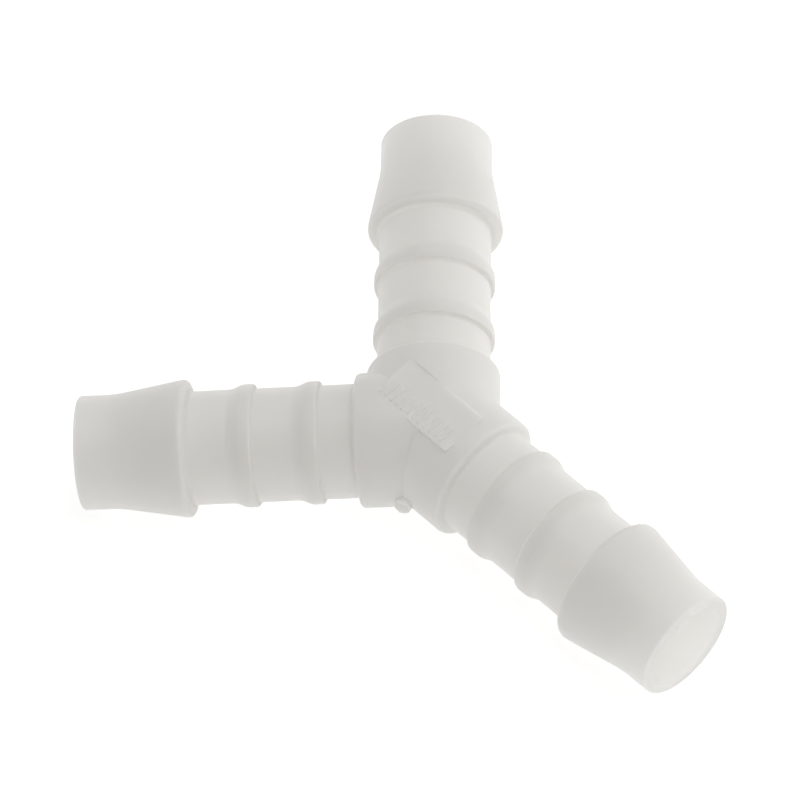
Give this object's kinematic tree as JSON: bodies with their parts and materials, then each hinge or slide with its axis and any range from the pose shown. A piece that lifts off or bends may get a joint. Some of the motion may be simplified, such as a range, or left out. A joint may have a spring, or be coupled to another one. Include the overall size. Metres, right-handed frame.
{
  "type": "tubing y connector",
  "caption": "Moulded plastic Y connector that joins soft tubing at a fork, with barbed and beaded hollow arms meeting at a plain hub.",
  "frame": {"origin": "centre of the stem's mouth, on the stem's axis and on the mould's parting plane", "axes": "+Y runs up the stem to the hub, +Z is square to the plane of the three arms and points out of the face with the marking pad, +X points to the right branch's side"},
  "size_m": [0.0508, 0.0564, 0.012],
  "materials": {
    "body": "natural translucent plastic, satin from the mould"
  },
  "bodies": {
    "root": {"connector": "body"}
  },
  "joints": []
}
